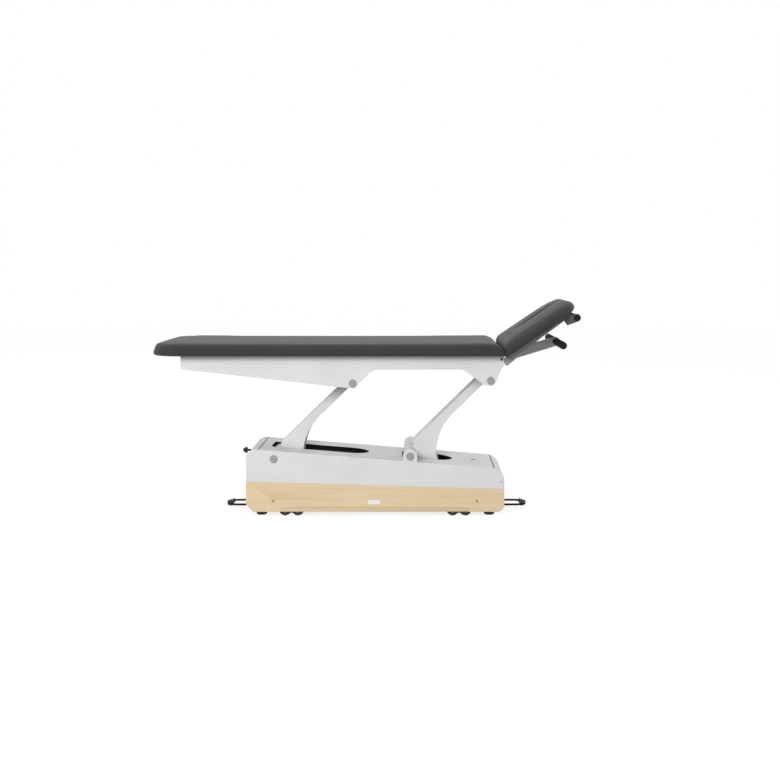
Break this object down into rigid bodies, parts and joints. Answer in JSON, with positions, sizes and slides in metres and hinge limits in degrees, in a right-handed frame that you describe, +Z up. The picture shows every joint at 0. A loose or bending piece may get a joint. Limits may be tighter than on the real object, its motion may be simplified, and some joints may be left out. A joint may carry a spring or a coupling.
{
  "type": "electric massage table",
  "caption": "Electric height-adjustable massage table: padded couch top with tilting head section and face slot, on a parallelogram lift over a wood and steel base.",
  "frame": {"origin": "middle of the bounding box at floor level, under the table", "axes": "+X along the table towards the head section, +Y across it to the far side, +Z up"},
  "size_m": [2.001, 0.65, 1.0135],
  "materials": {
    "wood": "clear lacquered birch plywood",
    "dark_board": "plywood stained black",
    "white_paint": "white powder coat",
    "black_paint": "black powder coat",
    "steel": "machined",
    "cap": "satin anodised",
    "grey_plastic": "moulded",
    "black_plastic": "moulded",
    "light_grey_paint": "light grey powder coat",
    "grey_paint": "grey powder coat",
    "black_rubber": "matt",
    "wheel_rubber": "hard rubber, matt",
    "foam": "closed-cell foam sleeve",
    "dark_paint": "satin black",
    "upholstery": "coated fabric over foam, fine grain"
  },
  "bodies": {
    "base": {"wood_side_near": "wood", "wood_side_far": "wood", "wood_end_foot": "wood", "wood_end_head": "wood", "bottom_board": "wood", "base_chassis": "black_paint", "side_plate_near": "white_paint", "side_plate_far": "white_paint", "top_cover": "white_paint", "end_cap_foot": "white_paint", "end_cap_head": "white_paint", "lower_pivot_shafts": "steel", "lower_pivot_caps": "cap", "lower_pivot_washers": "grey_plastic", "actuator_rear_pin": "steel", "control_box": "grey_plastic", "cord_gland": "black_plastic", "hanging_knob": "black_rubber", "side_inlay": "white_paint", "base_screws": "steel", "levelling_feet": "black_rubber", "pedal_bearings": "grey_plastic"},
    "lock_switch": {"lock_switch": "black_plastic"},
    "foot_arm": {"foot_arm_channel": "white_paint", "foot_arm_hubs": "white_paint", "foot_arm_bushes": "grey_plastic"},
    "head_arm": {"head_arm_channel": "white_paint", "head_arm_hubs": "white_paint", "head_arm_bushes": "grey_plastic", "crank_pin": "steel"},
    "actuator": {"actuator_gearbox": "black_plastic", "actuator_motor": "black_plastic", "actuator_tube": "grey_paint"},
    "actuator_rod": {"actuator_rod": "steel"},
    "top_frame": {"frame_side_near": "white_paint", "frame_side_far": "white_paint", "frame_cross_members": "white_paint", "upper_pivot_shafts": "steel", "upper_pivot_caps": "cap", "upper_pivot_washers": "grey_plastic", "main_board": "dark_board", "main_cushion": "upholstery", "head_hinge_pins": "steel"},
    "gas_cylinder": {"gas_spring_cylinder": "dark_paint"},
    "gas_rod": {"gas_spring_rod": "steel"},
    "head_section": {"head_tray": "light_grey_paint", "head_board": "dark_board", "head_cushion": "upholstery", "head_end_brackets": "light_grey_paint", "head_end_bar": "foam", "lever_pins": "steel"},
    "release_lever": {"release_lever": "grey_paint", "lever_grips": "foam"},
    "pedal_foot": {"pedal_foot": "black_paint"},
    "pedal_head": {"pedal_head": "black_paint"},
    "wheels_foot_outer": {"wheels_foot_outer": "wheel_rubber"},
    "wheels_foot_inner": {"wheels_foot_inner": "wheel_rubber"},
    "wheels_head_inner": {"wheels_head_inner": "wheel_rubber"},
    "wheels_head_outer": {"wheels_head_outer": "wheel_rubber"}
  },
  "joints": [
    {"name": "lift", "type": "hinge", "parent": "base", "child": "foot_arm", "pos_m": [-0.43279, 0, 0.272], "axis": [0, -1, 0], "range_deg": [-41, 21]},
    {"name": "head_arm_swing", "type": "hinge", "parent": "base", "child": "head_arm", "pos_m": [0.20821, 0, 0.284], "axis": [0, -1, 0], "range_deg": [-41, 21]},
    {"name": "table_level", "type": "hinge", "parent": "foot_arm", "child": "top_frame", "pos_m": [-0.05874, 0, 0.63322], "axis": [0, -1, 0], "range_deg": [-21, 41]},
    {"name": "actuator_swing", "type": "hinge", "parent": "base", "child": "actuator", "pos_m": [-0.00751, 0, 0.17879], "axis": [0, -1, 0], "range_deg": [-12, 6.5]},
    {"name": "actuator_rod_swing", "type": "hinge", "parent": "head_arm", "child": "actuator_rod", "pos_m": [0.31606, 0, 0.23139], "axis": [0, -1, 0], "range_deg": [-16, 30.5]},
    {"name": "head_tilt", "type": "hinge", "parent": "top_frame", "child": "head_section", "pos_m": [0.63326, 0, 0.74402], "axis": [0, -1, 0], "range_deg": [-64, 0]},
    {"name": "gas_cylinder_swing", "type": "hinge", "parent": "top_frame", "child": "gas_cylinder", "pos_m": [0.538, 0.09, 0.68902], "axis": [0, -1, 0], "range_deg": [-32, 0]},
    {"name": "gas_rod_swing", "type": "hinge", "parent": "head_section", "child": "gas_rod", "pos_m": [0.73999, 0.09, 0.77063], "axis": [0, -1, 0], "range_deg": [0, 32]},
    {"name": "release_lever_squeeze", "type": "hinge", "parent": "head_section", "child": "release_lever", "pos_m": [0.68869, 0, 0.75126], "axis": [0, -1, 0], "range_deg": [0, 9], "stiffness_Nm_per_rad": 60, "springref_deg": -6.88},
    {"name": "pedal_foot_swing", "type": "hinge", "parent": "base", "child": "pedal_foot", "pos_m": [-0.2668, 0, 0.04], "axis": [0, 1, 0], "range_deg": [-2.5, 5]},
    {"name": "pedal_head_swing", "type": "hinge", "parent": "base", "child": "pedal_head", "pos_m": [0.3532, 0, 0.04], "axis": [0, -1, 0], "range_deg": [-2.5, 5]},
    {"name": "wheels_foot_outer_roll", "type": "hinge", "parent": "pedal_foot", "child": "wheels_foot_outer", "pos_m": [-0.38179, 0, 0.029], "axis": [0, 1, 0], "continuous": true},
    {"name": "wheels_foot_inner_roll", "type": "hinge", "parent": "pedal_foot", "child": "wheels_foot_inner", "pos_m": [-0.32179, 0, 0.029], "axis": [0, 1, 0], "continuous": true},
    {"name": "wheels_head_inner_roll", "type": "hinge", "parent": "pedal_head", "child": "wheels_head_inner", "pos_m": [0.4082, 0, 0.029], "axis": [0, 1, 0], "continuous": true},
    {"name": "wheels_head_outer_roll", "type": "hinge", "parent": "pedal_head", "child": "wheels_head_outer", "pos_m": [0.4682, 0, 0.029], "axis": [0, 1, 0], "continuous": true},
    {"name": "lock_switch_turn", "type": "hinge", "parent": "base", "child": "lock_switch", "pos_m": [0.51421, 0, 0.23417], "axis": [0.0789, 0, 0.9969], "range_deg": [0, 90]}
  ],
  "couplings": [
    {"joint": "head_arm_swing", "follows": "lift", "ratio": 1},
    {"joint": "table_level", "follows": "lift", "ratio": -1},
    {"joint": "actuator_swing", "follows": "lift", "ratio": 0.275},
    {"joint": "actuator_rod_swing", "follows": "lift", "ratio": -0.725},
    {"joint": "gas_cylinder_swing", "follows": "head_tilt", "ratio": 0.5},
    {"joint": "gas_rod_swing", "follows": "head_tilt", "ratio": -0.5}
  ]
}
